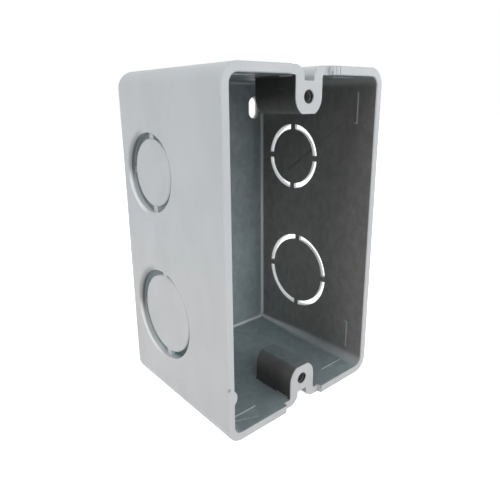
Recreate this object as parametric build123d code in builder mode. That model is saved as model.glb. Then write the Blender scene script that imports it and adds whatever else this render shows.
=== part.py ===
from build123d import *
import os

# One-piece moulded wall box for a single wiring device, in millimetres.
# X is the width, Y runs from the open front (-Y) to the back wall (+Y) and Z is up.
# The origin is under the middle of the box, in the plane that it stands on.

# Shell
width = 60.0
depth = 52.0
wall = 2.4
back_wall = 2.0
corner_radius = 5.0
back_edge_radius = 3.0
floor_fillet = 0.9
rim_edge_chamfer = 0.25

# Bosses for the device screws, one at each end. The holes have the thread's outer diameter.
screw_spacing = 83.3
screw_from_end = 7.85
screw_hole_diameter = 3.5
screw_mouth_diameter = 3.9
boss_width = 10.0
boss_tip_flat = 4.9
boss_tip_corner = 0.4
boss_root_fillet = 0.6
boss_setback = 1.5
boss_length = 15.5
rim_gap_width = 15.0
rim_gap_rounding = 1.0

# Groove that cores each boss from outside
groove_width = 3.8
groove_depth = 3.9
groove_flare_radius = 3.4
groove_flare_width = 3.3
groove_flare_depth = 2.6
groove_end_wall = 2.0

# Knockouts, a small one above a large one in each side wall
small_hole_diameter = 22.8
large_hole_diameter = 27.6
knockout_spacing = 42.5
small_knockout_from_back = 18.1
large_knockout_from_back = 21.2
slot_width = 1.75
tab_width = 1.9
disc_recess = 0.9
web_thickness = 1.3
disc_bevel = 0.25
small_lead_in = 2.8
large_lead_in = 2.4
lead_in_depth = 0.6

# Fixing slots in the back wall, in two opposite corners
fixing_slot_width = 4.8
fixing_slot_length = 7.7
fixing_slot_from_side = 6.6
fixing_slot_from_end = 11.4

# Raised witness lines of the mould's inserts, inside the rim near every corner
line_width = 0.35
line_height = 0.25
line_from_front = 6.3
side_line_from_corner = 4.2
side_line_length = 9.4
end_line_from_corner = 2.5
end_line_length = 10.1
line_hook = 1.0
line_return = 3.5

# Fine seams across the face of the top rim
seam_width = 0.25
seam_depth = 0.15
seam_positions = (8.9, 10.4)

# Moulding flaw on the left rim: flash that bulges into the opening, and a pit above it
bulge_height = 14.3
bulge_length = 3.8
bulge_reach = 0.8
bulge_thickness = 0.9
pit_height = 17.4
pit_from_edge = 0.5
pit_diameter = 0.8
pit_depth = 0.2

# How far a cutting shape runs past the faces that it opens
overrun = 1.0

height = screw_spacing + 2 * screw_from_end
front = -depth / 2
middle = height / 2
side = width / 2
inner_side = side - wall
inner_back = depth / 2 - back_wall
front_plane = Plane.XZ.offset(-front)
boss_plane = front_plane.offset(-boss_setback)


def facing_front(x, y, z):
    """Upright plane about a point, facing the front."""
    return Plane((x, y, z), x_dir=(1, 0, 0), z_dir=(0, -1, 0))


def mirrored_up(shape):
    """The same shape at the other end of the box."""
    return shape.mirror(Plane.XY.offset(middle))


def mirrored_across(shape):
    """The same shape at the other side of the box."""
    return shape.mirror(Plane.YZ)


def in_four_corners(shape):
    """The shape in its own corner and in the three others."""
    pair = [shape, mirrored_up(shape)]
    return pair + [mirrored_across(one) for one in pair]


# Screw boss of the bottom end: a tongue, round about the screw and flat at its tip, with small
# fillets at its root
with BuildPart() as boss:
    half_boss = boss_width / 2
    boss_past_screw = (half_boss**2 - (boss_tip_flat / 2) ** 2) ** 0.5
    root = wall / 2
    with BuildSketch(boss_plane):
        with Locations((0, root)):
            Rectangle(boss_width, screw_from_end - root, align=(Align.CENTER, Align.MIN))
        with Locations((0, screw_from_end)):
            Circle(half_boss)
        with Locations((0, screw_from_end + boss_past_screw)):
            Rectangle(boss_width, half_boss, align=(Align.CENTER, Align.MIN), mode=Mode.SUBTRACT)
        fillet(vertices().group_by(Axis.Y)[-1], boss_tip_corner)
        with Locations((0, root)):
            Rectangle(boss_width + 4 * boss_root_fillet, wall - root, align=(Align.CENTER, Align.MIN))
        corners = vertices().filter_by(lambda v: abs(abs(v.X) - half_boss) < 0.01)
        fillet(corners.filter_by(lambda v: abs(v.Y - wall) < 0.01), boss_root_fillet)
    extrude(amount=-boss_length)

# Groove in the outside of the bottom boss, with side walls that flare out to the surface
with BuildPart() as groove:
    half_groove = groove_width / 2
    half_mouth = half_groove + groove_flare_width
    with BuildSketch(boss_plane.offset(overrun)):
        with BuildLine():
            Polyline(
                (half_groove, groove_flare_depth),
                (half_groove, groove_depth),
                (-half_groove, groove_depth),
                (-half_groove, groove_flare_depth),
            )
            RadiusArc((half_groove, groove_flare_depth), (half_mouth, 0), -groove_flare_radius)
            RadiusArc((-half_mouth, 0), (-half_groove, groove_flare_depth), -groove_flare_radius)
            Polyline(
                (half_mouth, 0),
                (half_mouth, -overrun),
                (-half_mouth, -overrun),
                (-half_mouth, 0),
            )
        make_face()
    extrude(amount=-(overrun + boss_length - groove_end_wall))

# Gap in the rim in front of the bottom boss, with rounded ends
with BuildPart() as rim_gap:
    gap_end = rim_gap_width / 2
    gap_mouth = gap_end + rim_gap_rounding
    with BuildSketch(Plane.XY.offset(-overrun)):
        with BuildLine():
            Polyline(
                (0, front + boss_setback),
                (gap_end, front + boss_setback),
                (gap_end, front + rim_gap_rounding),
            )
            RadiusArc((gap_end, front + rim_gap_rounding), (gap_mouth, front), -rim_gap_rounding)
            Polyline((gap_mouth, front), (gap_mouth, front - overrun), (0, front - overrun))
            mirror(about=Plane.YZ)
        make_face()
    extrude(amount=wall + 2 * overrun)


def knockout(hole_diameter):
    """What one knockout removes. It lies about the X axis, with the wall's outer face at x = 0."""
    hole = hole_diameter / 2
    disc = hole - slot_width
    web_face = wall - web_thickness
    with BuildPart() as removed:
        # Recess over the disc, and the moat round its bevelled edge, down to the web
        with BuildSketch(Plane.XY):
            with BuildLine():
                Polyline(
                    (overrun, 0),
                    (-disc_recess, 0),
                    (-disc_recess, disc - disc_bevel),
                    (-web_face, disc),
                    (-web_face, hole),
                    (overrun, hole),
                    (overrun, 0),
                )
            make_face()
        revolve(axis=Axis.X)
        # Slots through the web and a little higher, which leave four tabs
        with BuildSketch(Plane.YZ.offset(-wall - overrun)):
            Circle(hole)
            Circle(disc, mode=Mode.SUBTRACT)
            Rectangle(tab_width, 3 * hole, mode=Mode.SUBTRACT)
            Rectangle(3 * hole, tab_width, mode=Mode.SUBTRACT)
        extrude(amount=overrun + web_thickness + disc_bevel)
    return removed.part


def lead_in_crescent(hole_diameter, lead_in):
    """Rounded lead-in on the back side of a knockout's hole, which fades out towards the front."""
    hole = hole_diameter / 2
    inside_hole = slot_width / 4
    mouth = hole + (lead_in - inside_hole) / 2
    shift = (lead_in + inside_hole) / 2
    curve = lead_in + inside_hole
    with BuildPart() as crescent:
        with BuildSketch(Plane.XY):
            with BuildLine():
                EllipticalCenterArc(
                    (-lead_in_depth, mouth), lead_in_depth, curve, start_angle=270, arc_size=90
                )
                Polyline(
                    (0, mouth),
                    (overrun, mouth),
                    (overrun, 0),
                    (-lead_in_depth, 0),
                    (-lead_in_depth, mouth - curve),
                )
            make_face()
        revolve(axis=Axis.X)
        with BuildSketch(Plane.YZ.offset(-wall)):
            with Locations((-shift, 0)):
                Circle(hole - slot_width / 2)
        extrude(amount=wall + 2 * overrun, mode=Mode.SUBTRACT)
    return crescent.part.moved(Location((0, shift, 0)))


# Witness line on the right side wall, near the bottom corner
with BuildPart() as side_line:
    line_front = front + line_from_front
    line_low = wall + side_line_from_corner
    line_high = line_low + side_line_length
    with BuildSketch(Plane.YZ.offset(inner_side - line_height)):
        with Locations((line_front, line_low)):
            Rectangle(line_width, side_line_length, align=(Align.MIN, Align.MIN))
        with Locations((line_front, line_high)):
            Rectangle(line_hook, line_width, align=(Align.MIN, Align.MAX))
    extrude(amount=line_height + wall / 2)

# Witness line on the bottom wall, near the right corner
with BuildPart() as end_line:
    line_outer = inner_side - end_line_from_corner
    line_inner = line_outer - end_line_length
    with BuildSketch(Plane.XY.offset(wall / 2)):
        with Locations((line_outer, line_front)):
            Rectangle(end_line_length, line_width, align=(Align.MAX, Align.MIN))
            Rectangle(line_width, line_return, align=(Align.MAX, Align.MAX))
        with Locations((line_inner, line_front)):
            Rectangle(line_width, line_hook, align=(Align.MIN, Align.MIN))
    extrude(amount=wall / 2 + line_height)

# Flash on the inner edge of the left rim
with BuildPart() as bulge:
    in_wall = -wall / 2
    bulge_half = bulge_length / 2
    with BuildSketch(facing_front(-inner_side, front, bulge_height)):
        with BuildLine():
            Polyline((0, -bulge_half), (in_wall, -bulge_half), (in_wall, bulge_half), (0, bulge_half))
            ThreePointArc((0, bulge_half), (bulge_reach, 0), (0, -bulge_half))
        make_face()
    extrude(amount=-bulge_thickness)

# The whole box
with BuildPart() as box_body:
    # Open shell with rounded edges
    with BuildSketch(front_plane):
        with Locations((0, middle)):
            RectangleRounded(width, height, corner_radius)
    extrude(amount=-depth)
    fillet(faces().sort_by(Axis.Y)[-1].edges(), back_edge_radius)
    with BuildSketch(front_plane):
        with Locations((0, middle)):
            RectangleRounded(width - 2 * wall, height - 2 * wall, corner_radius - wall)
    extrude(amount=back_wall - depth, mode=Mode.SUBTRACT)
    chamfer(faces().sort_by(Axis.Y)[0].edges(), rim_edge_chamfer)
    fillet(edges().filter_by_position(Axis.Y, inner_back - 0.01, inner_back + 0.01), floor_fillet)

    # Bosses, with the rim lowered in front of them, cored and drilled
    add([boss.part, mirrored_up(boss.part)])
    cuts = [rim_gap.part, groove.part]
    add(cuts + [mirrored_up(cut) for cut in cuts], mode=Mode.SUBTRACT)
    boss_front = front + boss_setback
    with Locations([facing_front(0, boss_front, z) for z in (screw_from_end, height - screw_from_end)]):
        CounterSinkHole(screw_hole_diameter / 2, screw_mouth_diameter / 2, boss_length + overrun, 90)

    # Knockouts of both side walls
    for hole_diameter, lead_in, from_back, level in (
        (small_hole_diameter, small_lead_in, small_knockout_from_back, middle + knockout_spacing / 2),
        (large_hole_diameter, large_lead_in, large_knockout_from_back, middle - knockout_spacing / 2),
    ):
        place = Location((side, depth / 2 - from_back, level))
        for removed in (knockout(hole_diameter), lead_in_crescent(hole_diameter, lead_in)):
            right = removed.moved(place)
            add([right, mirrored_across(right)], mode=Mode.SUBTRACT)

    # Fixing slots in the back wall
    slot_x = side - fixing_slot_from_side
    with BuildSketch(Plane.XZ.offset(front - overrun)):
        with Locations((slot_x, height - fixing_slot_from_end), (-slot_x, fixing_slot_from_end)):
            SlotOverall(fixing_slot_length, fixing_slot_width, rotation=90)
    extrude(amount=back_wall + 2 * overrun, mode=Mode.SUBTRACT)

    # Witness lines and seams
    add(in_four_corners(side_line.part) + in_four_corners(end_line.part))
    with BuildSketch(front_plane):
        with Locations([(x, height - wall / 2) for x in seam_positions]):
            Rectangle(seam_width, wall + 2 * overrun)
    extrude(amount=-seam_depth, mode=Mode.SUBTRACT)

    # Moulding flaw
    add(bulge.part)
    with BuildSketch(front_plane):
        with Locations((pit_from_edge - side, pit_height)):
            Circle(pit_diameter / 2)
    extrude(amount=-pit_depth, mode=Mode.SUBTRACT)

box_body.part.label = "box_body"
os.makedirs("parts", exist_ok=True)
export_step(box_body.part, "parts/box_body.step")
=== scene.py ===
"""Looks of a grey plastic wall box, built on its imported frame.

The box is one moulding, and its shape comes from the frame. This script dresses it in its plastic,
adds the fine threads of its two screw holes, and sets up the plain studio around it.
"""

import logging
import math
from collections.abc import Sequence
from dataclasses import dataclass
from enum import Enum

import bmesh
import bpy
from mathutils import Matrix, Vector


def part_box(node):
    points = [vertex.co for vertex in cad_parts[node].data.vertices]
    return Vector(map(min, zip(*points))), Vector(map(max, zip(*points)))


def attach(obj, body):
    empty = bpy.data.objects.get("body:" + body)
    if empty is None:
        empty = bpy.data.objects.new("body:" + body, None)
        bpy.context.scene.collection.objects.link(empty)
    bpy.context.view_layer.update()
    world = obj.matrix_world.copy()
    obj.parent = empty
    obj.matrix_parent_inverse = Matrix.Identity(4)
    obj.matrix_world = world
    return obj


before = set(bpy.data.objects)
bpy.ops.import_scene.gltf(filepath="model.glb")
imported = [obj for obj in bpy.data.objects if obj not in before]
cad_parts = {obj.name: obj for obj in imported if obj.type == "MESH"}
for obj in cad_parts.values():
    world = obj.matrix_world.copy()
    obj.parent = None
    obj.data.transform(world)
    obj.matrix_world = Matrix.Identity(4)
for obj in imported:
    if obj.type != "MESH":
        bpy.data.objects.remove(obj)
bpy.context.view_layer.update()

MM = 0.001
PIXELS = 500
BODY = "root"
NODE = "box_body"
VECTOR = "NodeSocketVector"
NUMBER = "NodeSocketFloat"
WHITE = (1.0, 1.0, 1.0)
EVEN = (1.0, 1.0, 1.0)

Colour = tuple[float, float, float]
Point = tuple[float, float, float]
Span = tuple[float, float]
Socket = bpy.types.NodeSocket
Feed = Socket | float | Sequence[float]

log = logging.getLogger("wall_box")


class End(Enum):
    """The two ends of the box, each with its own screw boss."""

    LOWER = "lower"
    UPPER = "upper"


class Wiring:
    """Adds and joins the nodes of one node tree."""

    def __init__(self, tree: bpy.types.NodeTree) -> None:
        """Starts on a tree.

        Args:
            tree: The node tree that gets the nodes.
        """
        self.tree = tree

    def add(self, kind: str, **settings: object) -> bpy.types.Node:
        """Adds a node.

        Args:
            kind: The node's type name.
            settings: Attributes to set on it.

        Returns:
            The new node.
        """
        node = self.tree.nodes.new(kind)
        for name, value in settings.items():
            setattr(node, name, value)
        return node

    def feed(self, socket: Socket, value: Feed) -> None:
        """Links an output to an input, or sets the input's own value.

        Args:
            socket: The input.
            value: An output to link, or a number, vector or colour to set.
        """
        if isinstance(value, Socket):
            self.tree.links.new(value, socket)
        elif socket.type == "RGBA":
            socket.default_value = (*value, 1.0)
        else:
            socket.default_value = value

    def math(self, operation: str, *values: Feed, clamp: bool = False) -> Socket:
        """Adds a Math node.

        Args:
            operation: The node's operation.
            values: Its inputs, in order.
            clamp: Whether the result stays between 0 and 1.

        Returns:
            The node's output.
        """
        node = self.add("ShaderNodeMath", operation=operation, use_clamp=clamp)
        for socket, value in zip(node.inputs, values):
            self.feed(socket, value)
        return node.outputs["Value"]

    def vector(self, operation: str, *values: Feed) -> Socket:
        """Adds a Vector Math node.

        Args:
            operation: The node's operation.
            values: Its inputs, in order.

        Returns:
            The node's output, a number where the operation gives one.
        """
        node = self.add("ShaderNodeVectorMath", operation=operation)
        for socket, value in zip(node.inputs, values):
            self.feed(socket, value)
        return next(socket for socket in node.outputs if socket.enabled)

    def blend(self, share: Feed, first: Feed, second: Feed, how: str = "MIX") -> Socket:
        """Adds a Mix node for two colours.

        Args:
            share: How much of the second colour shows.
            first: The first colour.
            second: The second colour.
            how: The node's blend type.

        Returns:
            The mixed colour.
        """
        node = self.add("ShaderNodeMix", data_type="RGBA", blend_type=how)
        self.feed(node.inputs["Factor"], share)
        first_input, second_input = [socket for socket in node.inputs if socket.type == "RGBA"]
        self.feed(first_input, first)
        self.feed(second_input, second)
        return next(socket for socket in node.outputs if socket.type == "RGBA")

    def ramp(self, value: Feed, start: Feed, end: Feed, low: float = 0.0, high: float = 1.0) -> Socket:
        """Adds a Map Range node with soft ends.

        Args:
            value: What is mapped.
            start: The value that gives the low end.
            end: The value that gives the high end.
            low: The low end.
            high: The high end.

        Returns:
            The mapped value.
        """
        node = self.add("ShaderNodeMapRange", interpolation_type="SMOOTHSTEP")
        for name, number in zip(("Value", "From Min", "From Max", "To Min", "To Max"),
                                (value, start, end, low, high)):
            self.feed(node.inputs[name], number)
        return node.outputs["Result"]

    def noise(self, position: Feed, scale: Feed, detail: float,
              roughness: float = 0.5, swirl: Feed = 0.0) -> Socket:
        """Adds a Noise Texture node.

        Args:
            position: Where it is read.
            scale: Its scale, in waves per metre.
            detail: Its number of octaves.
            roughness: How strong the fine octaves are.
            swirl: How far it is drawn out of shape.

        Returns:
            The noise, around 0.5.
        """
        node = self.add("ShaderNodeTexNoise")
        for name, number in zip(("Vector", "Scale", "Detail", "Roughness", "Distortion"),
                                (position, scale, detail, roughness, swirl)):
            self.feed(node.inputs[name], number)
        return node.outputs["Fac"]


def new_material(name: str) -> tuple[bpy.types.Material, Wiring, bpy.types.Node]:
    """Starts a material.

    Args:
        name: Its name.

    Returns:
        The material, its wiring and its shader.
    """
    material = bpy.data.materials.new(name)
    material.use_nodes = True
    return material, Wiring(material.node_tree), material.node_tree.nodes["Principled BSDF"]


def new_object(name: str, data: bpy.types.ID) -> bpy.types.Object:
    """Puts an object into the scene.

    Args:
        name: Its name.
        data: Its mesh, light or camera.

    Returns:
        The object.
    """
    placed = bpy.data.objects.new(name, data)
    bpy.context.scene.collection.objects.link(placed)
    return placed


class EffectGroup:
    """A surface effect that several materials share, as a node group with named sockets.

    Attributes:
        title: The group's name.
        inputs: Name, kind and starting value of each input.
        output: Name of its output.
    """

    title = "effect"
    inputs: tuple[tuple[str, str, float], ...] = ()
    output = "Mask"

    def __init__(self) -> None:
        """Builds the group once."""
        self.tree = bpy.data.node_groups.new(self.title, "ShaderNodeTree")
        for name, kind, start in self.inputs:
            socket = self.tree.interface.new_socket(name, in_out="INPUT", socket_type=kind)
            if kind == NUMBER:
                socket.default_value = start
        self.tree.interface.new_socket(self.output, in_out="OUTPUT", socket_type=NUMBER)
        wiring = Wiring(self.tree)
        entry = wiring.add("NodeGroupInput")
        leave = wiring.add("NodeGroupOutput")
        wiring.feed(leave.inputs[self.output], self.draw(wiring, entry.outputs))

    def draw(self, wiring: Wiring, given: bpy.types.bpy_prop_collection) -> Socket:
        """Draws the effect's own nodes.

        Args:
            wiring: The group's nodes.
            given: The group's inputs.

        Returns:
            The socket that the group puts out.
        """
        raise NotImplementedError

    def place(self, wiring: Wiring, **values: Feed) -> Socket:
        """Places the group in a material.

        Args:
            wiring: The material's nodes.
            values: The group's inputs, by name, with an underscore for each space.

        Returns:
            The group's output.
        """
        node = wiring.add("ShaderNodeGroup", node_tree=self.tree)
        for name, value in values.items():
            wiring.feed(node.inputs[name.replace("_", " ").title()], value)
        return node.outputs[self.output]


class CloudyFlow(EffectGroup):
    """Soft clouds that the melt leaves as it flows into the mould.

    Attributes:
        broad_detail: Octaves of the broad clouds.
        fine_detail: Octaves of the fine clouds.
        fine_roughness: How strong the fine clouds' last octaves are.
        fine_factor: How many times smaller the fine clouds are.
        fine_share: How much of the fine clouds is added to the broad ones.
        window: The noise that becomes 0, and the noise that becomes 1.
    """

    title = "cloudy_flow"
    inputs = (
        ("Position", VECTOR, 0.0),
        ("Stretch", VECTOR, 0.0),
        ("Scale", NUMBER, 60.0),
        ("Swirl", NUMBER, 0.4),
    )
    broad_detail = 4.0
    fine_detail = 3.0
    fine_roughness = 0.6
    fine_factor = 3.7
    fine_share = 0.35
    window = (0.3, 0.7)

    def draw(self, wiring: Wiring, given: bpy.types.bpy_prop_collection) -> Socket:
        """Draws two layers of stretched noise.

        Args:
            wiring: The group's nodes.
            given: The group's inputs.

        Returns:
            The clouds, from 0 to 1.
        """
        stretched = wiring.vector("MULTIPLY", given["Position"], given["Stretch"])
        broad = wiring.noise(stretched, given["Scale"], self.broad_detail, swirl=given["Swirl"])
        fine_scale = wiring.math("MULTIPLY", given["Scale"], self.fine_factor)
        fine = wiring.noise(stretched, fine_scale, self.fine_detail, self.fine_roughness)
        around_zero = wiring.math("SUBTRACT", fine, 0.5)
        both = wiring.math("MULTIPLY_ADD", around_zero, self.fine_share, broad)
        return wiring.ramp(both, *self.window)


class FineScratches(EffectGroup):
    """Short thin scratches that run in a few directions.

    Attributes:
        turns: Turn of each layer of scratches, in radians.
        slimness: How much finer the noise is along each axis, which draws it out to scratches.
        threshold: The noise that becomes a scratch where their share is 0.
        threshold_drop: How much less noise is needed where their share is 1.
        softness: How far above the threshold a scratch shows fully.
    """

    title = "fine_scratches"
    inputs = (("Position", VECTOR, 0.0), ("Scale", NUMBER, 90.0), ("Share", NUMBER, 0.5))
    turns = ((0.3, 0.1, 0.5), (1.2, 0.4, -0.6), (-0.5, 0.9, 1.3))
    slimness = (1.0, 14.0, 14.0)
    threshold = 0.78
    threshold_drop = 0.1
    softness = 0.05

    def draw(self, wiring: Wiring, given: bpy.types.bpy_prop_collection) -> Socket:
        """Draws one layer of slim noise for each direction and keeps the peaks.

        Args:
            wiring: The group's nodes.
            given: The group's inputs.

        Returns:
            1 on the scratches.
        """
        found: Feed = 0.0
        drop = wiring.math("MULTIPLY", given["Share"], self.threshold_drop)
        start = wiring.math("SUBTRACT", self.threshold, drop)
        for turn in self.turns:
            mapping = wiring.add("ShaderNodeMapping")
            wiring.feed(mapping.inputs["Vector"], given["Position"])
            wiring.feed(mapping.inputs["Rotation"], turn)
            slim = wiring.vector("MULTIPLY", mapping.outputs[0], self.slimness)
            peaks = wiring.noise(slim, given["Scale"], 1.0)
            layer = wiring.ramp(peaks, start, wiring.math("ADD", start, self.softness))
            found = wiring.math("MAXIMUM", found, layer)
        return found


class EdgeHighlight(EffectGroup):
    """Edges and corners, where a highlight is painted paler.

    Attributes:
        samples: Rays that the rounded normal is found with.
    """

    title = "painted_edge_highlight"
    inputs = (("Radius", NUMBER, 0.6 * MM), ("Gain", NUMBER, 3.0))
    samples = 6

    def draw(self, wiring: Wiring, given: bpy.types.bpy_prop_collection) -> Socket:
        """Compares the surface's own normal with a rounded one.

        Args:
            wiring: The group's nodes.
            given: The group's inputs.

        Returns:
            1 on the edges.
        """
        rounded = wiring.add("ShaderNodeBevel", samples=self.samples)
        wiring.feed(rounded.inputs["Radius"], given["Radius"])
        own = wiring.add("ShaderNodeNewGeometry")
        match = wiring.vector("DOT_PRODUCT", rounded.outputs["Normal"], own.outputs["Normal"])
        turned = wiring.math("SUBTRACT", 1.0, match)
        return wiring.math("MULTIPLY", turned, given["Gain"], clamp=True)


class MouldGrain(EffectGroup):
    """Height of the fine grain and slight waves of a moulded surface.

    Attributes:
        grain_detail: Octaves of the grain.
        wave_detail: Octaves of the waves.
        wave_share: Height of the waves for each height of the grain.
    """

    title = "mould_grain"
    inputs = (("Position", VECTOR, 0.0), ("Grain Scale", NUMBER, 2500.0), ("Wave Scale", NUMBER, 90.0))
    output = "Height"
    grain_detail = 2.0
    wave_detail = 1.0
    wave_share = 2.0

    def draw(self, wiring: Wiring, given: bpy.types.bpy_prop_collection) -> Socket:
        """Adds fine grain to slow waves.

        Args:
            wiring: The group's nodes.
            given: The group's inputs.

        Returns:
            The height.
        """
        grain = wiring.noise(given["Position"], given["Grain Scale"], self.grain_detail)
        waves = wiring.noise(given["Position"], given["Wave Scale"], self.wave_detail)
        return wiring.math("MULTIPLY_ADD", waves, self.wave_share, grain)


class StraightStroke(EffectGroup):
    """One straight stroke over a surface, such as a streak or a long scratch."""

    title = "straight_stroke"
    inputs = (
        ("Position", VECTOR, 0.0),
        ("Start", VECTOR, 0.0),
        ("Along", VECTOR, 0.0),
        ("Width", NUMBER, 0.3 * MM),
    )

    def draw(self, wiring: Wiring, given: bpy.types.bpy_prop_collection) -> Socket:
        """Measures how far the surface lies from the stroke's middle line.

        Args:
            wiring: The group's nodes.
            given: The group's inputs.

        Returns:
            1 on the middle line, 0 where the surface lies further from it than the width.
        """
        offset = wiring.vector("SUBTRACT", given["Position"], given["Start"])
        length = wiring.vector("DOT_PRODUCT", given["Along"], given["Along"])
        reach = wiring.vector("DOT_PRODUCT", offset, given["Along"])
        reached = wiring.add("ShaderNodeVectorMath", operation="SCALE")
        wiring.feed(reached.inputs[0], given["Along"])
        wiring.feed(reached.inputs["Scale"], wiring.math("DIVIDE", reach, length, clamp=True))
        away = wiring.vector("DISTANCE", offset, reached.outputs[0])
        return wiring.ramp(away, given["Width"], 0.0)


@dataclass(frozen=True)
class Effects:
    """The effect groups, built once for all materials."""

    flow: CloudyFlow
    scratches: FineScratches
    edges: EdgeHighlight
    grain: MouldGrain
    stroke: StraightStroke

    @classmethod
    def build(cls) -> "Effects":
        """Builds every group."""
        return cls(CloudyFlow(), FineScratches(), EdgeHighlight(), MouldGrain(), StraightStroke())


@dataclass(frozen=True)
class Knockout:
    """Where one knockout lies in a side wall, in metres.

    Attributes:
        inward: Place of its centre, from front to back.
        up: Height of its centre.
        radius: Radius of its hole.
    """

    inward: float
    up: float
    radius: float


@dataclass(frozen=True)
class LeadInLight:
    """Where light and shade fall on the rounded lead-in of a knockout, in metres.

    A span holds the place where a mark starts to show and the place where it shows fully. Its circles
    are as wide as the knockout's hole.

    Attributes:
        depth: How far below the outer face the marks reach.
        hole_edge: Span outside the hole.
        behind: Span behind the hole's centre.
        levels: The shade's span above the hole's centre, as shares of its radius; the light's reversed.
        back: How far the marks' circles lie behind the hole.
        shade_up: How far the shade's circle lies above the hole.
        shade: Span outside the shade's circle.
        lit_up: How far the light's circle lies above the hole.
        lit_outer: Span outside the light's circle, at the light's outer edge.
        lit_inner: The same at its inner edge.
    """

    depth: float = 1.2 * MM
    hole_edge: Span = (-2.2 * MM, -1.6 * MM)
    behind: Span = (1.0 * MM, 7.0 * MM)
    levels: Span = (-0.4, 0.1)
    back: float = 1.7 * MM
    shade_up: float = 0.8 * MM
    shade: Span = (0.9 * MM, -2.0 * MM)
    lit_up: float = -0.7 * MM
    lit_outer: Span = (0.4 * MM, -0.5 * MM)
    lit_inner: Span = (-1.6 * MM, -0.8 * MM)


@dataclass(frozen=True)
class BoxSizes:
    """Sizes of the box that the looks need, in metres.

    Attributes:
        low: Lowest corner of the box.
        high: Highest corner of the box.
        wall: Thickness of the side and end walls.
        back_wall: Thickness of the back wall.
        corner: Radius of the outer corners between side and end walls.
        corner_fillet: Radius of the inner corners between side and end walls.
        floor_fillet: Radius of the inner corners round the back wall.
        boss_setback: How far the bosses' faces lie behind the rim.
        boss_length: Length of a boss.
        boss_half_width: Half the width of a boss.
        boss_height: How far a boss reaches from its end of the box.
        gap_half_width: Half the width of the gap in the rim at a boss.
        groove_half_width: Half the width of a boss's groove at its flare.
        groove_depth: Depth of a boss's groove.
        screw_from_end: Distance of a screw's centre from its end of the box.
        screw_radius: Radius of a screw hole's mouth.
        line_from_front: Distance of the raised lines from the rim.
        line_return: How far a raised line turns back towards the rim.
        line_hook: How far the hook at its other end reaches to the back.
        disc_recess: How far the knockout discs lie below the outer faces.
        knockouts: The knockouts of one side wall.
    """

    low: Vector
    high: Vector
    wall: float = 2.4 * MM
    back_wall: float = 2.0 * MM
    corner: float = 5.0 * MM
    corner_fillet: float = 2.6 * MM
    floor_fillet: float = 0.9 * MM
    boss_setback: float = 1.5 * MM
    boss_length: float = 15.5 * MM
    boss_half_width: float = 5.0 * MM
    boss_height: float = 12.2 * MM
    gap_half_width: float = 7.5 * MM
    groove_half_width: float = 3.0 * MM
    groove_depth: float = 3.9 * MM
    screw_from_end: float = 7.85 * MM
    screw_radius: float = 1.95 * MM
    line_from_front: float = 6.3 * MM
    line_return: float = 3.5 * MM
    line_hook: float = 1.0 * MM
    disc_recess: float = 0.9 * MM
    knockouts: tuple[Knockout, ...] = (
        Knockout(7.9 * MM, 70.75 * MM, 11.4 * MM),
        Knockout(4.8 * MM, 28.25 * MM, 13.8 * MM),
    )

    @property
    def middle(self) -> Vector:
        """Middle of the box."""
        return (self.low + self.high) / 2

    @property
    def half(self) -> Vector:
        """Half the box's width, depth and height."""
        return (self.high - self.low) / 2

    @property
    def side_face(self) -> float:
        """Distance of the side walls' inner faces from the middle."""
        return self.half.x - self.wall

    @property
    def end_face(self) -> float:
        """Distance of the end walls' inner faces from the middle."""
        return self.half.z - self.wall

    @property
    def back_face(self) -> float:
        """Where the back wall's inner face lies, from front to back."""
        return self.high.y - self.back_wall

    @property
    def boss_front(self) -> float:
        """Where the bosses' front faces lie, from front to back."""
        return self.low.y + self.boss_setback

    @property
    def boss_rear(self) -> float:
        """Where the bosses' rear faces lie, from front to back."""
        return self.boss_front + self.boss_length

    @property
    def boss_tip(self) -> float:
        """Distance of the bosses' tips from the middle."""
        return self.half.z - self.boss_height

    def screw_centre(self, end: End) -> Vector:
        """Finds the middle of a screw hole's mouth.

        Args:
            end: The boss that holds the hole.

        Returns:
            The point, on the boss's front face.
        """
        lower, upper = self.low.z + self.screw_from_end, self.high.z - self.screw_from_end
        return Vector((self.middle.x, self.boss_front, lower if end is End.LOWER else upper))


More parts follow.
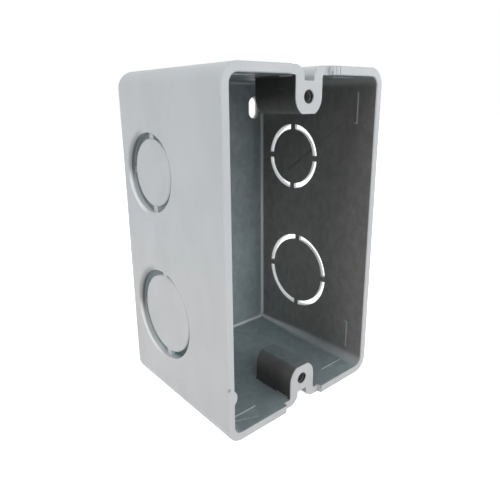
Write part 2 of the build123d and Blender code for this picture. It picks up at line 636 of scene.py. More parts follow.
class SurfacePlace:
    """Where a point of the surface lies in the box, as node outputs.

    Attributes:
        hair: A small step, which keeps a mark clear of the face that it starts from.
        soft: Width of a mark's soft border.
        facing: Sideways part of the normal where a face starts to be a side face, and where it is one.
        floor_spread: Reach of the painted highlight in the corners round the back wall, in radii of
            their fillets.
        corner_spread: The same between side and end walls, at the back and at the front.
        corner_share: How much of those shows, at the back and at the front.
        root_reach: How far beside a boss the painted shade at its root reaches.
        root_height: Where the painted shade at a boss's root is darkest, as a share of the boss's
            height.
        tip_share: How much of that painted shade is left at the boss's tip.
        rear_reach: How far behind a boss the painted shade reaches.
        line_rise: How far above a face a raised line starts.
        line_clear: Height above a face that no raised line reaches.
        slot_clear: How far the knockouts' cut faces keep from the bosses, the front and the back wall.
    """

    hair = 0.1 * MM
    soft = 0.3 * MM
    facing = (0.35, 0.8)
    floor_spread = 1.3
    corner_spread = (0.6, 1.3)
    corner_share = (0.85, 0.4)
    root_reach = 0.5 * MM
    root_height = 0.4
    tip_share = 0.5
    rear_reach = 0.4 * MM
    line_rise = 0.08 * MM
    line_clear = 0.4 * MM
    slot_clear = 1.0 * MM

    def __init__(self, wiring: Wiring, sizes: BoxSizes) -> None:
        """Adds the nodes that find the place.

        Args:
            wiring: The material's nodes.
            sizes: The box's sizes.
        """
        self.wiring = wiring
        self.sizes = sizes
        self.position = wiring.add("ShaderNodeTexCoord").outputs["Object"]
        parts = wiring.add("ShaderNodeSeparateXYZ")
        wiring.feed(parts.inputs[0], self.position)
        self.across, self.inward, self.up = (parts.outputs[axis] for axis in "XYZ")
        self.side = wiring.math("ABSOLUTE", wiring.math("SUBTRACT", self.across, sizes.middle.x))
        self.end = wiring.math("ABSOLUTE", wiring.math("SUBTRACT", self.up, sizes.middle.z))
        self.lowness = wiring.ramp(self.up, sizes.high.z, sizes.low.z)
        past_side, past_end = (
            wiring.math("MAXIMUM", wiring.math("SUBTRACT", value, half - sizes.corner), 0.0)
            for value, half in ((self.side, sizes.half.x), (self.end, sizes.half.z))
        )
        self.skin_depth = wiring.math("SUBTRACT", sizes.corner, self.distance(past_side, past_end))
        normal = wiring.add("ShaderNodeSeparateXYZ")
        wiring.feed(normal.inputs[0], wiring.add("ShaderNodeNewGeometry").outputs["Normal"])
        self.facing_side = wiring.ramp(wiring.math("ABSOLUTE", normal.outputs["X"]), *self.facing)

    def distance(self, first: Feed, second: Feed) -> Socket:
        """Finds the length of a step that runs along two directions.

        Args:
            first: How far it runs along the one.
            second: How far it runs along the other.

        Returns:
            The length.
        """
        squares = [self.wiring.math("MULTIPLY", part, part) for part in (first, second)]
        return self.wiring.math("SQRT", self.wiring.math("ADD", *squares))

    def all_of(self, first: Feed, *others: Feed) -> Socket:
        """Joins masks.

        Args:
            first: The first mask.
            others: The other masks.

        Returns:
            1 where every mask is 1.
        """
        for other in others:
            first = self.wiring.math("MULTIPLY", first, other)
        return first

    def inside(self) -> Socket:
        """Finds the inner faces.

        Returns:
            1 on the inner faces, 0 on the outer faces, the rim, the bosses' fronts and their grooves.
        """
        ramp, sizes, hair, soft = self.wiring.ramp, self.sizes, self.hair, self.soft
        below_discs = sizes.disc_recess + soft
        in_side_wall = sizes.high.x - sizes.wall + soft
        in_back_wall = sizes.high.y - sizes.back_wall / 2
        core = [
            ramp(self.skin_depth, below_discs, below_discs + soft),
            ramp(self.across, in_side_wall, in_side_wall - soft / 2),
            ramp(self.inward, in_back_wall + soft, in_back_wall),
        ]
        behind_boss_face = ramp(self.inward, sizes.boss_front + hair, sizes.boss_front + hair + soft)
        behind_rim = ramp(self.inward, sizes.low.y + soft / 2, sizes.low.y + hair + soft)
        beside_gap = ramp(self.side, sizes.gap_half_width, sizes.gap_half_width + soft)
        behind_front = self.wiring.math("MAXIMUM", behind_boss_face, self.all_of(behind_rim, beside_gap))
        groove_floor = sizes.half.z - sizes.groove_depth
        groove = self.all_of(
            ramp(self.side, sizes.groove_half_width + soft, sizes.groove_half_width),
            ramp(self.end, groove_floor - soft, groove_floor),
            ramp(self.inward, sizes.boss_rear, sizes.boss_rear - soft),
        )
        return self.all_of(*core, behind_front, self.wiring.math("SUBTRACT", 1.0, groove))

    def corners(self) -> Socket:
        """Finds the rounded corners between the inner faces, where a highlight is painted.

        Returns:
            1 round the back wall, less along the side walls, where the mark widens towards the front.
        """
        sizes = self.sizes
        back, front = sizes.back_face, sizes.low.y + sizes.boss_length
        widening = self.wiring.ramp(self.inward, back, front, *self.corner_spread)
        fading = self.wiring.ramp(self.inward, back, front, *self.corner_share)
        faces = {
            "side": (self.side, sizes.side_face),
            "end": (self.end, sizes.end_face),
            "back": (self.inward, sizes.back_face),
        }
        found: Feed = 0.0
        for radius, spread, share, pair in (
            (sizes.floor_fillet, self.floor_spread, 1.0, ("side", "back")),
            (sizes.floor_fillet, self.floor_spread, 1.0, ("end", "back")),
            (sizes.corner_fillet, widening, fading, ("side", "end")),
        ):
            reach = self.wiring.math("MULTIPLY", spread, radius)
            near = [self.wiring.ramp(value, self.wiring.math("SUBTRACT", face, reach), face - radius / 3)
                    for value, face in (faces[name] for name in pair)]
            found = self.wiring.math("MAXIMUM", found, self.all_of(share, *near))
        return found

    def boss_root_shade(self) -> Socket:
        """Finds the sides of the bosses, where shade is painted.

        Returns:
            1 at their roots, fading towards their tips.
        """
        ramp, sizes = self.wiring.ramp, self.sizes
        root = sizes.half.z - self.root_height * sizes.boss_height
        return self.all_of(
            ramp(self.side, sizes.boss_half_width + self.root_reach, sizes.boss_half_width + self.hair),
            ramp(self.end, sizes.boss_tip, root, self.tip_share, 1.0),
            ramp(self.inward, sizes.boss_rear + self.rear_reach, sizes.boss_rear),
        )

    def witness_lines(self) -> Socket:
        """Finds the raised lines inside the rim, near the corners, which get a painted highlight.

        Returns:
            1 on the lines.
        """
        ramp, sizes, hair, clear = self.wiring.ramp, self.sizes, self.hair, self.line_clear
        line = sizes.low.y + sizes.line_from_front
        front, back = line - sizes.line_return, line + sizes.line_hook + hair
        along = self.all_of(ramp(self.inward, front - 2 * hair, front),
                            ramp(self.inward, back + hair, back))
        found: Feed = 0.0
        for value, face, other, other_face in ((self.side, sizes.side_face, self.end, sizes.end_face),
                                               (self.end, sizes.end_face, self.side, sizes.side_face)):
            limit = other_face - sizes.corner_fillet + clear
            raised = self.all_of(ramp(value, face - self.line_rise, face - 2 * self.line_rise),
                                 ramp(value, face - clear - hair, face - clear),
                                 ramp(other, limit, limit - hair))
            found = self.wiring.math("MAXIMUM", found, raised)
        return self.all_of(along, found)

    def past_hole(self, knockout: Knockout, back: float = 0.0, up: float = 0.0) -> Socket:
        """Finds how far the surface lies outside a knockout's hole, were the hole shifted.

        Args:
            knockout: The knockout.
            back: How far the hole is shifted to the back.
            up: How far it is shifted up.

        Returns:
            The distance, below 0 inside the hole.
        """
        wiring = self.wiring
        away = self.distance(wiring.math("SUBTRACT", self.inward, knockout.inward + back),
                             wiring.math("SUBTRACT", self.up, knockout.up + up))
        return wiring.math("SUBTRACT", away, knockout.radius)

    def lead_ins(self, light: LeadInLight) -> tuple[Feed, Feed]:
        """Finds the rounded lead-ins of the left wall's knockouts.

        Args:
            light: Where light and shade fall on them.

        Returns:
            1 on their shaded upper parts, and 1 on their lit lower parts.
        """
        ramp = self.wiring.ramp
        shaded: Feed = 0.0
        lit: Feed = 0.0
        floor = self.sizes.low.x + light.depth
        on_left = ramp(self.across, floor + self.hair, floor - self.hair)
        for knockout in self.sizes.knockouts:
            hole_edge = ramp(self.past_hole(knockout), *light.hole_edge)
            behind = ramp(self.inward, *(knockout.inward + place for place in light.behind))
            low, high = (knockout.up + share * knockout.radius for share in light.levels)
            shade_edge = self.past_hole(knockout, light.back, light.shade_up)
            upper = self.all_of(on_left, hole_edge, behind, ramp(self.up, low, high),
                                ramp(shade_edge, *light.shade))
            lit_edge = self.past_hole(knockout, light.back, light.lit_up)
            lower = self.all_of(on_left, behind, ramp(self.up, high, low),
                                ramp(lit_edge, *light.lit_outer), ramp(lit_edge, *light.lit_inner))
            shaded = self.wiring.math("MAXIMUM", shaded, upper)
            lit = self.wiring.math("MAXIMUM", lit, lower)
        return shaded, lit

    def slot_faces(self) -> Socket:
        """Finds the cut faces round the knockouts of the right wall, which are painted pale as lit.

        Returns:
            1 on the faces.
        """
        ramp, sizes, hair, clear = self.wiring.ramp, self.sizes, self.hair, self.slot_clear
        inner_face = sizes.high.x - sizes.wall
        return self.all_of(
            ramp(self.across, inner_face + hair, inner_face + self.soft),
            ramp(self.across, sizes.high.x - hair / 2, sizes.high.x - 1.5 * hair),
            ramp(self.end, sizes.boss_tip, sizes.boss_tip - clear),
            ramp(self.inward, sizes.boss_front, sizes.boss_front + clear),
            ramp(self.inward, sizes.back_face, sizes.back_face - clear),
            self.wiring.math("SUBTRACT", 1.0, self.facing_side),
        )

    def bores(self) -> Socket:
        """Finds the insides of the screw holes, where shade is painted.

        Returns:
            1 on the insides.
        """
        ramp, sizes, hair = self.wiring.ramp, self.sizes, self.hair
        past = self.wiring.math("SUBTRACT", self.end, sizes.half.z - sizes.screw_from_end)
        return self.all_of(
            ramp(self.distance(self.side, past), sizes.screw_radius + hair, sizes.screw_radius),
            ramp(self.inward, sizes.boss_front, sizes.boss_front + 2 * hair),
            ramp(self.inward, sizes.boss_rear + hair, sizes.boss_rear),
        )


@dataclass(frozen=True)
class Streak:
    """A long mark on the box, in millimetres.

    Attributes:
        start: Where it starts.
        end: Where it ends.
        width: Half its width.
        colour: Its colour.
        strength: How much of its colour shows.
    """

    start: Point
    end: Point
    width: float
    colour: Colour
    strength: float

    def mask(self, wiring: Wiring, position: Socket, effects: Effects) -> Socket:
        """Finds the mark.

        Args:
            wiring: The material's nodes.
            position: The surface's position.
            effects: The shared effects.

        Returns:
            1 on the mark's middle line, fading out across its width.
        """
        start = Vector(self.start) * MM
        along = Vector(self.end) * MM - start
        return effects.stroke.place(wiring, position=position, start=start, along=along,
                                    width=self.width * MM)


@dataclass(frozen=True)
class Clouds:
    """Cloudy flow marks in a colour.

    Attributes:
        stretch: How fine they are along each axis, one against another.
        scale: Their scale, in waves per metre.
        swirl: How far they are drawn out of shape.
        tones: Their dark and their pale grey.
        share: How strongly they show.
    """

    stretch: Point
    scale: float
    swirl: float
    tones: Span
    share: float

    def lay(self, wiring: Wiring, position: Socket, effects: Effects,
            colour: Feed) -> tuple[Socket, Socket]:
        """Lays them over a colour.

        Args:
            wiring: The material's nodes.
            position: The surface's position.
            effects: The shared effects.
            colour: The plain colour.

        Returns:
            The clouded colour, and the clouds, from 0 to 1.
        """
        flow = effects.flow.place(wiring, position=position, stretch=self.stretch,
                                  scale=self.scale, swirl=self.swirl)
        dark, pale = ((tone, tone, tone) for tone in self.tones)
        return wiring.blend(self.share, colour, wiring.blend(flow, dark, pale), "OVERLAY"), flow


@dataclass(frozen=True)
class Relief:
    """Fine relief of a finish.

    Attributes:
        grain_scale: Scale of its grain, in waves per metre.
        wave_scale: Scale of its slow waves.
        depth: Its depth, in metres.
        strength: How much of it shows.
    """

    grain_scale: float
    wave_scale: float
    depth: float
    strength: float

    def normal(self, wiring: Wiring, position: Socket, effects: Effects) -> Socket:
        """Turns the surface's normal by the relief.

        Args:
            wiring: The material's nodes.
            position: The surface's position.
            effects: The shared effects.

        Returns:
            The normal.
        """
        bump = wiring.add("ShaderNodeBump")
        wiring.feed(bump.inputs["Height"], effects.grain.place(
            wiring, position=position, grain_scale=self.grain_scale, wave_scale=self.wave_scale))
        wiring.feed(bump.inputs["Strength"], self.strength)
        wiring.feed(bump.inputs["Distance"], self.depth)
        return bump.outputs["Normal"]


@dataclass(frozen=True)
class PvcFinish:
    """The box's grey plastic: satin outside, cloudy inside, with painted shade that darkens the inner
    faces.

    Attributes:
        name: The material's name.
        outside: Colour of the outer faces and the rim, at the top and at the bottom.
        inside: Colour of the inner side faces, at the top and at the bottom; painted shade, darkest at
            the top.
        inside_cool_shade: Colour of the inner back and end faces, at the top and at the bottom; painted
            shade, bluer and less dark than on the side faces, and lightest at the bottom.
        corner: Pale colour of the highlight painted along the rounded inner corners, at the top and at
            the bottom.
        bore: Near black, painted as the shade inside the screw holes and on the bosses' sides near their
            roots.
        painted_light: Pale colour painted as light on the cut faces round the right wall's knockouts and
            on the lit lead-ins.
        shade: Colour of the shaded lead-ins of the left wall's knockouts.
        scratch_and_highlight: Pale colour of the scratches, and of the highlight painted on edges and
            raised lines.
        outer_clouds: Clouds of the outer faces.
        inner_clouds: Clouds of the inner faces.
        lead_in_light: Where light and shade fall on the left wall's lead-ins.
        lead_in_share: How much of their colour shows.
        root_shade_share: How much of the painted shade at the bosses' roots shows.
        line_share: How much of the highlight painted on the raised lines shows.
        scratch_scale: Scale of the scratches, in waves per metre.
        scratch_amount: How many scratches there are, from 0 to 1.
        scratch_share: How much of their colour shows.
        edge_radius: How far from an edge the painted highlight reaches.
        edge_gain: How fast it grows towards the edge.
        edge_shares: How much of it shows outside and inside.
        sheen_outside: Roughness of the outer faces.
        sheen_inside: Roughness of the inner faces.
        wear_scale: Scale of the uneven sheen, in waves per metre.
        wear_swirl: How far it is drawn out of shape.
        wear_share: How much the roughness varies.
        relief: Relief of all faces.
        rim_pit_shade: A dark spot painted as the shade of a small pit in the left rim.
        streak_breaks: Clouds from which a streak shows and shows fully, and how much of it shows there.
        scuffs: Long dark and pale streaks on the inner faces.
    """

    name: str = "grey_pvc_moulding"
    outside: tuple[Colour, Colour] = ((0.505, 0.533, 0.55), (0.555, 0.563, 0.573))
    inside: tuple[Colour, Colour] = ((0.175, 0.171, 0.168), (0.26, 0.252, 0.248))
    inside_cool_shade: tuple[Colour, Colour] = ((0.205, 0.245, 0.26), (0.33, 0.40, 0.42))
    corner: tuple[Colour, Colour] = ((0.40, 0.42, 0.425), (0.78, 0.83, 0.85))
    bore: Colour = (0.02, 0.02, 0.021)
    painted_light: Colour = (0.86, 0.88, 0.885)
    shade: Colour = (0.10, 0.11, 0.115)
    scratch_and_highlight: Colour = (0.62, 0.64, 0.645)
    outer_clouds: Clouds = Clouds((1.0, 1.0, 0.45), 70.0, 0.6, (0.3, 0.7), 0.09)
    inner_clouds: Clouds = Clouds((1.0, 1.0, 0.7), 400.0, 0.5, (0.37, 0.63), 0.4)
    lead_in_light: LeadInLight = LeadInLight()
    lead_in_share: float = 0.8
    root_shade_share: float = 0.8
    line_share: float = 0.55
    scratch_scale: float = 55.0
    scratch_amount: float = 0.4
    scratch_share: float = 0.1
    edge_radius: float = 0.4 * MM
    edge_gain: float = 2.0
    edge_shares: Span = (0.2, 0.45)
    sheen_outside: float = 0.48
    sheen_inside: float = 0.38
    wear_scale: float = 160.0
    wear_swirl: float = 0.2
    wear_share: float = 0.12
    relief: Relief = Relief(2600.0, 80.0, 0.02 * MM, 0.35)
    rim_pit_shade: Streak = Streak((-29.5, -26.0, 17.5), (-29.5, -26.0, 17.3), 0.7, (0.08, 0.085, 0.085), 0.65)
    streak_breaks: tuple[float, float, float, float] = (0.1, 0.7, 0.3, 1.0)
    scuffs: tuple[Streak, ...] = (
        Streak((27.6, -18.0, 85.8), (27.6, -1.0, 73.6), 0.5, (0.06, 0.06, 0.06), 0.25),
        Streak((27.6, -1.0, 73.6), (27.6, 9.5, 66.1), 0.8, (0.05, 0.05, 0.05), 0.6),
        Streak((27.6, -0.1, 26.7), (27.6, -0.3, 18.8), 0.7, (0.10, 0.10, 0.10), 0.4),
        Streak((-25.0, -20.6, 2.4), (-17.6, -23.5, 2.4), 0.5, (0.85, 0.92, 0.92), 0.9),
        Streak((-24.5, -6.0, 2.4), (-8.0, -8.5, 2.4), 0.9, (0.4, 0.46, 0.47), 0.4),
    )

    def inner_colour(self, wiring: Wiring, place: SurfacePlace, effects: Effects) -> Socket:
        """Mixes the colour of the inner faces, with their painted shade and highlights.

        Args:
            wiring: The material's nodes.
            place: Where the surface lies.
            effects: The shared effects.

        Returns:
            The colour.
        """
        # Painted shade: the inner faces are darker than the outside, lighter towards the bottom, and
        # lighter on the back and end faces than on the side faces.
        plain = wiring.blend(place.lowness, *self.inside)
        cool = wiring.blend(place.lowness, *self.inside_cool_shade)
        colour = wiring.blend(place.facing_side, cool, plain)
        colour, flow = self.inner_clouds.lay(wiring, place.position, effects, colour)
        # Painted shade on the bosses' sides near their roots.
        roots = wiring.math("MULTIPLY", place.boss_root_shade(), self.root_shade_share)
        colour = wiring.blend(roots, colour, self.bore)
        # Painted highlight along the rounded inner corners, brighter towards the bottom.
        colour = wiring.blend(place.corners(), colour, wiring.blend(place.lowness, *self.corner))
        scratches = effects.scratches.place(wiring, position=place.position, scale=self.scratch_scale,
                                            share=self.scratch_amount)
        # Scratches get their own paler colour; the raised lines get a painted highlight.
        for mask, share in ((scratches, self.scratch_share), (place.witness_lines(), self.line_share)):
            colour = wiring.blend(wiring.math("MULTIPLY", mask, share), colour, self.scratch_and_highlight)
        breaks = wiring.ramp(flow, *self.streak_breaks)
        for streak in self.scuffs:
            share = wiring.math("MULTIPLY", streak.mask(wiring, place.position, effects), breaks)
            colour = wiring.blend(wiring.math("MULTIPLY", share, streak.strength), colour, streak.colour)
        # Painted shade inside the screw holes.
        return wiring.blend(place.bores(), colour, self.bore)

    def outer_colour(self, wiring: Wiring, place: SurfacePlace, effects: Effects) -> Socket:
        """Mixes the colour of the outer faces.

        Args:
            wiring: The material's nodes.
            place: Where the surface lies.
            effects: The shared effects.

        Returns:
            The colour.
        """
        plain = wiring.blend(place.lowness, *self.outside)
        colour = self.outer_clouds.lay(wiring, place.position, effects, plain)[0]
        # Painted shade and painted light on the lead-ins of the left wall's knockouts.
        for mask, mark in zip(place.lead_ins(self.lead_in_light), (self.shade, self.painted_light)):
            colour = wiring.blend(wiring.math("MULTIPLY", mask, self.lead_in_share), colour, mark)
        # Painted shade of a small pit in the left rim.
        pit_mask = self.rim_pit_shade.mask(wiring, place.position, effects)
        pit = wiring.math("MULTIPLY", pit_mask, self.rim_pit_shade.strength)
        return wiring.blend(pit, colour, self.rim_pit_shade.colour)

    def build(self, sizes: BoxSizes, effects: Effects) -> bpy.types.Material:
        """Builds the material.

        Args:
            sizes: The box's sizes.
            effects: The shared effects.

        Returns:
            The material.
        """
        material, wiring, shader = new_material(self.name)
        place = SurfacePlace(wiring, sizes)
        inside = place.inside()
        colour = wiring.blend(inside, self.outer_colour(wiring, place, effects),
                              self.inner_colour(wiring, place, effects))
        # Painted light on the cut faces round the right wall's knockouts.
        colour = wiring.blend(place.slot_faces(), colour, self.painted_light)
        # Painted highlight on edges and corners, stronger on the inner faces.
        edges = effects.edges.place(wiring, radius=self.edge_radius, gain=self.edge_gain)
        edge_share = wiring.math("MULTIPLY", edges, wiring.ramp(inside, 0.0, 1.0, *self.edge_shares))
        wiring.feed(shader.inputs["Base Color"], wiring.blend(edge_share, colour, self.scratch_and_highlight))

        sheen = wiring.ramp(inside, 0.0, 1.0, self.sheen_outside, self.sheen_inside)
        wear = effects.flow.place(wiring, position=place.position, stretch=EVEN, scale=self.wear_scale,
                                  swirl=self.wear_swirl)
        around_zero = wiring.math("SUBTRACT", wear, 0.5)
        sheen = wiring.math("MULTIPLY_ADD", around_zero, self.wear_share, sheen)
        wiring.feed(shader.inputs["Roughness"], sheen)
        wiring.feed(shader.inputs["Normal"], self.relief.normal(wiring, place.position, effects))
        return material


@dataclass(frozen=True)
class CutThreadFinish:
    """Plastic that a tap has cut: the same grey, rougher and without the moulded skin, but painted near
    black as the shade inside the screw holes.

    Attributes:
        name: The material's name.
        colour: Colour of the cut plastic, near black as painted shade.
        crest: Paler colour that the clouds mottle in, and that is painted on the edges as a highlight.
        crest_share: How much of that shows in the clouds.
        cloud_scale: Scale of the clouds, in waves per metre.
        cloud_swirl: How far they are drawn out of shape.
        edge_radius: How far from an edge the painted highlight reaches.
        edge_gain: How fast it grows towards the edge.
        roughness: Roughness of the cut plastic.
        relief: Its relief.
    """

    name: str = "cut_thread_plastic"
    colour: Colour = (0.045, 0.046, 0.048)
    crest: Colour = (0.12, 0.125, 0.13)
    crest_share: float = 0.4
    cloud_scale: float = 600.0
    cloud_swirl: float = 0.3
    edge_radius: float = 0.15 * MM
    edge_gain: float = 2.0
    roughness: float = 0.5
    relief: Relief = Relief(6000.0, 1500.0, 0.02 * MM, 0.5)

    def build(self, effects: Effects) -> bpy.types.Material:
        """Builds the material.

        Args:
            effects: The shared effects.

        Returns:
            The material.
        """
        material, wiring, shader = new_material(self.name)
        position = wiring.add("ShaderNodeTexCoord").outputs["Object"]
        flow = effects.flow.place(wiring, position=position, stretch=EVEN, scale=self.cloud_scale,
                                  swirl=self.cloud_swirl)
        # Painted highlight on the thread's edges.
        edges = effects.edges.place(wiring, radius=self.edge_radius, gain=self.edge_gain)
        colour = wiring.blend(wiring.math("MULTIPLY", flow, self.crest_share), self.colour, self.crest)
        wiring.feed(shader.inputs["Base Color"], wiring.blend(edges, colour, self.crest))
        wiring.feed(shader.inputs["Roughness"], self.roughness)
        wiring.feed(shader.inputs["Normal"], self.relief.normal(wiring, position, effects))
        return material


@dataclass(frozen=True)
class ScrewThread:
    """The fine thread inside one screw hole, as a ridge that winds along the bore.

    Attributes:
        end: The boss that holds the hole.
        bore_diameter: Diameter of the hole, and outer diameter of the thread.
        crest_diameter: Inner diameter, at the ridge's crest.
        pitch: Distance from one turn to the next.
        start: How far behind the boss's face the ridge starts.
        length: How far the ridge runs along the hole.
        bite: How far the ridge's foot lies inside the bore's wall.
        half_foot: Half the width of the foot, as a share of the pitch.
        half_crest: Half the width of the crest, as a share of the pitch.
        runout: Share of the ridge's full height at both its ends.
        steps: Sections in one turn.
    """

    end: End
    bore_diameter: float = 3.5 * MM
    crest_diameter: float = 2.75 * MM
    pitch: float = 0.794 * MM
    start: float = 0.45 * MM
    length: float = 14.3 * MM
    bite: float = 0.03 * MM
    half_foot: float = 0.44
    half_crest: float = 0.06
    runout: float = 0.15
    steps: int = 28

    def section(self, turn: float, fade: float) -> list[Vector]:
        """Makes the ridge's section at one point of its winding.

        Args:
            turn: How many turns the winding has made.
            fade: Share of the ridge's full height, from 0 to 1.

        Returns:
            The section's corners, about the hole's axis, which runs along Y.
        """
        bore = self.bore_diameter / 2
        foot = bore + self.bite
        crest = bore - fade * (bore - self.crest_diameter / 2)
        angle = 2 * math.pi * turn
        out = Vector((math.cos(angle), 0.0, math.sin(angle)))
        along = self.start + turn * self.pitch
        return [
            out * radius + Vector((0.0, along + offset * self.pitch, 0.0))
            for radius, offset in ((foot, -self.half_foot), (crest, -self.half_crest),
                                   (crest, self.half_crest), (foot, self.half_foot))
        ]

    def build(self, sizes: BoxSizes, material: bpy.types.Material) -> bpy.types.Object:
        """Builds the ridge in its hole.

        Args:
            sizes: The box's sizes.
            material: The ridge's finish.

        Returns:
            The new piece.
        """
        mesh = bmesh.new()
        turns = self.length / self.pitch
        count = round(turns * self.steps)
        centre = sizes.screw_centre(self.end)
        rings = []
        for index in range(count + 1):
            turn = index / self.steps
            fade = min(1.0, self.runout + turn, self.runout + (turns - turn))
            rings.append([mesh.verts.new(centre + corner) for corner in self.section(turn, fade)])
        for near, far in zip(rings, rings[1:]):
            for corner, following in zip(range(4), (1, 2, 3, 0)):
                mesh.faces.new((near[corner], near[following], far[following], far[corner]))
        mesh.faces.new(rings[0])
        mesh.faces.new(reversed(rings[-1]))
        bmesh.ops.recalc_face_normals(mesh, faces=mesh.faces)
        data = bpy.data.meshes.new(f"{self.end.value}_screw_thread")
        mesh.to_mesh(data)
        mesh.free()
        data.materials.append(material)
        piece = new_object(data.name, data)
        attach(piece, BODY)
        return piece


@dataclass(frozen=True)
class Softbox:
    """A soft square studio light that faces the box.

    Attributes:
        name: The light's name.
        azimuth: Its direction in plan, in degrees from the front towards the right.
        elevation: Its height above the horizon, in degrees.
        power: Its power, in watts.
        side: Length of its sides, in metres.
        distance: Its distance from the box, in metres.
        aim: The point that it faces.
    """

    name: str
    azimuth: float
    elevation: float
    power: float
    side: float = 0.5
    distance: float = 1.3
    aim: Point = (0.0, 0.0, 0.05)

    def build(self) -> bpy.types.Object:
        """Sets the light up.

        Returns:
            The light.
        """
        light = bpy.data.lights.new(self.name, "AREA")
        light.size = self.side
        light.energy = self.power
        turn, rise = math.radians(self.azimuth), math.radians(self.elevation)
        flat = math.cos(rise)
        away = Vector((math.sin(turn) * flat, -math.cos(turn) * flat, math.sin(rise)))
        lamp = new_object(self.name, light)
        lamp.location = Vector(self.aim) + away * self.distance
        lamp.rotation_euler = (-away).to_track_quat("-Z", "Y").to_euler()
        return lamp


@dataclass(frozen=True)
class PhotoCamera:
    """The camera that took the reference view.

    Attributes:
        place: Where it stands, in metres.
        yaw: Turn from straight inward towards the right, in radians.
        pitch: Tilt below the horizontal, in radians.
        roll: Turn about the line of sight, in radians.
        focal: Focal length, in pixels of the image.
        axis_pixel: Pixel that the line of sight passes through.
        sensor: Width of the sensor, in millimetres.
        near: Nearest distance that it sees, in metres.
    """

    place: Point = (-94.5 * MM, -110.272 * MM, 90.563 * MM)
    yaw: float = 0.695
    pitch: float = 0.270
    roll: float = 0.012
    focal: float = 467.852
    axis_pixel: tuple[float, float] = (242.894, 229.225)
    sensor: float = 36.0
    near: float = 5.0 * MM

    def build(self) -> bpy.types.Object:
        """Sets the camera up and makes it the scene's own.

        Returns:
            The camera.
        """
        flat = math.cos(self.pitch)
        sight = Vector((math.sin(self.yaw) * flat, math.cos(self.yaw) * flat, -math.sin(self.pitch)))
        level = Vector((math.cos(self.yaw), -math.sin(self.yaw), 0.0))
        turn = Matrix.Rotation(self.roll, 3, sight)
        right = turn @ level
        up = -(turn @ sight.cross(level))
        data = bpy.data.cameras.new("photo_camera")
        data.sensor_width = self.sensor
        data.lens = self.focal / PIXELS * self.sensor
        data.shift_x = (PIXELS / 2 - self.axis_pixel[0]) / PIXELS
        data.shift_y = (self.axis_pixel[1] - PIXELS / 2) / PIXELS
        data.clip_start = self.near
        camera = new_object("photo_camera", data)
        axes = Matrix((right, up, -sight)).transposed().to_4x4()
        camera.matrix_world = Matrix.Translation(self.place) @ axes
        bpy.context.scene.camera = camera
        return camera


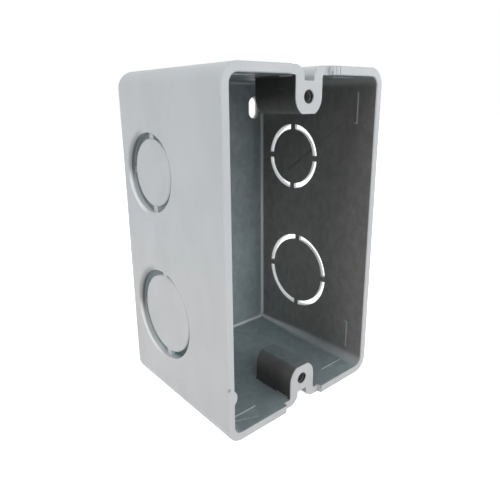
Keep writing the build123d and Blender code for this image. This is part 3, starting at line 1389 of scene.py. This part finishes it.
@dataclass(frozen=True)
class Studio:
    """A plain pale floor under a white background, and soft lights.

    Attributes:
        floor_radius: Radius of the floor.
        floor_segments: Sides of the floor's outline.
        floor_colour: Colour of the floor.
        floor_lift: Own glow of the floor under the box, which the box is not lit by.
        floor_fade: Distances over which the floor fades into the white background.
        ambient: Colour of the dim room, as the box is lit by it.
        lights: The lights.
    """

    floor_radius: float = 4.0
    floor_segments: int = 64
    floor_colour: Colour = (0.85, 0.85, 0.85)
    floor_lift: float = 0.82
    floor_fade: Span = (0.12, 0.6)
    ambient: Colour = (0.02, 0.02, 0.021)
    lights: tuple[Softbox, ...] = (
        Softbox("front_softbox", 15.0, 12.0, 5.4),
        Softbox("left_softbox", -92.0, 32.0, 9.6, side=0.8),
        Softbox("high_softbox", -24.0, 32.0, 2.7),
        Softbox("right_softbox", 52.0, 15.0, 4.5),
        Softbox("top_softbox", 0.0, 89.0, 1.5),
        Softbox("back_softbox", 150.0, 60.0, 4.0),
    )

    @staticmethod
    def seen_directly(wiring: Wiring) -> Socket:
        """Tells what is seen, directly or in a reflection, from what only lights the box.

        Args:
            wiring: The material's or world's nodes.

        Returns:
            1 for camera, glossy and transmission rays.
        """
        rays = wiring.add("ShaderNodeLightPath")
        either = wiring.math("MAXIMUM", rays.outputs["Is Camera Ray"], rays.outputs["Is Glossy Ray"])
        return wiring.math("MAXIMUM", either, rays.outputs["Is Transmission Ray"])

    def build_world(self) -> None:
        """Makes the background white to the eye and dim as a light."""
        world = bpy.data.worlds.new("white_background")
        world.use_nodes = True
        bpy.context.scene.world = world
        wiring = Wiring(world.node_tree)
        background = world.node_tree.nodes["Background"]
        colour = wiring.blend(self.seen_directly(wiring), self.ambient, WHITE)
        wiring.feed(background.inputs["Color"], colour)
        background.inputs["Strength"].default_value = 1.0

    def build_floor(self, level: float) -> bpy.types.Object:
        """Lays the floor.

        Args:
            level: Height of the floor.

        Returns:
            The floor.
        """
        mesh = bmesh.new()
        bmesh.ops.create_circle(mesh, cap_ends=True, segments=self.floor_segments,
                                radius=self.floor_radius)
        data = bpy.data.meshes.new("studio_floor")
        mesh.to_mesh(data)
        mesh.free()
        material, wiring, matte = new_material("studio_floor")
        wiring.feed(matte.inputs["Base Color"], self.floor_colour)
        wiring.feed(matte.inputs["Roughness"], 1.0)
        wiring.feed(matte.inputs["Specular IOR Level"], 0.0)
        away = wiring.vector("LENGTH", wiring.add("ShaderNodeTexCoord").outputs["Object"])
        glow = wiring.ramp(away, *self.floor_fade, self.floor_lift, 1.0)
        strength = wiring.math("MULTIPLY", glow, self.seen_directly(wiring))
        wiring.feed(matte.inputs["Emission Color"], WHITE)
        wiring.feed(matte.inputs["Emission Strength"], strength)
        data.materials.append(material)
        floor = new_object("studio_floor", data)
        floor.location.z = level
        return floor

    def build(self, level: float) -> None:
        """Sets the studio up.

        Args:
            level: Height that the box stands at.
        """
        self.build_world()
        self.build_floor(level)
        for light in self.lights:
            light.build()
        bpy.context.scene.view_settings.view_transform = "Standard"


@dataclass(frozen=True)
class WallBox:
    """The box itself: the moulding and its two threads.

    Attributes:
        sizes: The box's sizes.
        plastic: Finish of the moulding.
        cut_plastic: Finish of the threads.
    """

    sizes: BoxSizes
    plastic: PvcFinish = PvcFinish()
    cut_plastic: CutThreadFinish = CutThreadFinish()

    def dress_moulding(self, effects: Effects) -> bpy.types.Object:
        """Gives the frame's moulding its plastic.

        Args:
            effects: The shared effects.

        Returns:
            The moulding.
        """
        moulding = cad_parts[NODE]
        material = self.plastic.build(self.sizes, effects)
        for slot in moulding.material_slots:
            slot.material = material
        return moulding

    def build(self, effects: Effects) -> list[bpy.types.Object]:
        """Dresses the moulding and adds the threads.

        Args:
            effects: The shared effects.

        Returns:
            The pieces of the box.
        """
        thread_material = self.cut_plastic.build(effects)
        threads = [ScrewThread(end).build(self.sizes, thread_material) for end in End]
        return [self.dress_moulding(effects), *threads]


def main() -> None:
    """Builds the box's looks and the studio."""
    logging.basicConfig(level=logging.INFO, format="%(name)s: %(message)s")
    low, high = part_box(NODE)
    effects = Effects.build()
    for piece in WallBox(BoxSizes(low, high)).build(effects):
        log.info("%s: %d faces", piece.name, len(piece.data.polygons))
    Studio().build(low.z)
    camera = PhotoCamera().build()
    log.info("camera at %s", tuple(round(number, 4) for number in camera.location))


if __name__ == "__main__":
    main()
